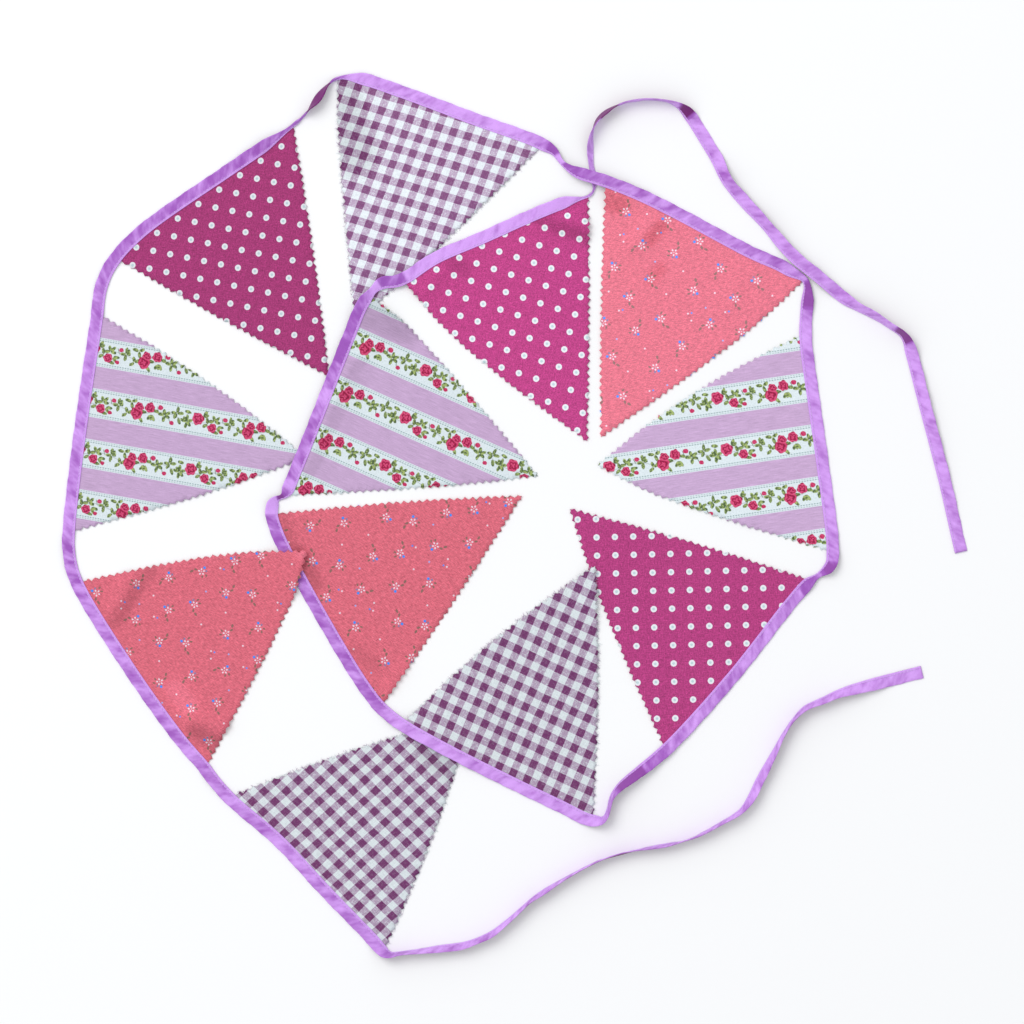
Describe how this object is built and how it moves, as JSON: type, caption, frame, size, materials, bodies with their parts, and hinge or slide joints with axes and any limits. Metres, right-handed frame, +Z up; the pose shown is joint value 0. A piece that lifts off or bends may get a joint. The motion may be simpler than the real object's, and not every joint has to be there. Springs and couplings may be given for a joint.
{
  "type": "bunting",
  "caption": "String of triangular cloth pennants with pinked edges held in a folded lilac tape, laid flat in a spiral with two free tie ends.",
  "frame": {"origin": "centre of the outline seen from above, on the surface that the bunting lies on", "axes": "+Z up off the surface, +X and +Y across the layout, +X along its longest side"},
  "size_m": [0.7238, 0.7075, 0.0108],
  "materials": {
    "tape": "lilac plain-weave cotton tape, folded and stitched, lightly creased",
    "dot": "magenta canvas weave printed with small white dots",
    "stripe": "lilac and white stripes, the white ones with sprays of roses",
    "coral": "heathered coral cotton with a scatter of tiny white and blue flowers",
    "gingham": "purple and white woven gingham with a slightly frayed edge"
  },
  "bodies": {
    "root": {"tape": "tape", "flag_01_dot": "dot", "flag_02_stripe": "stripe", "flag_03_coral": "coral", "flag_04_gingham": "gingham", "flag_05_dot": "dot", "flag_06_stripe": "stripe", "flag_07_coral": "coral", "flag_08_gingham": "gingham", "flag_09_dot": "dot", "flag_10_stripe": "stripe", "flag_11_coral": "coral", "flag_12_gingham": "gingham"}
  },
  "joints": []
}
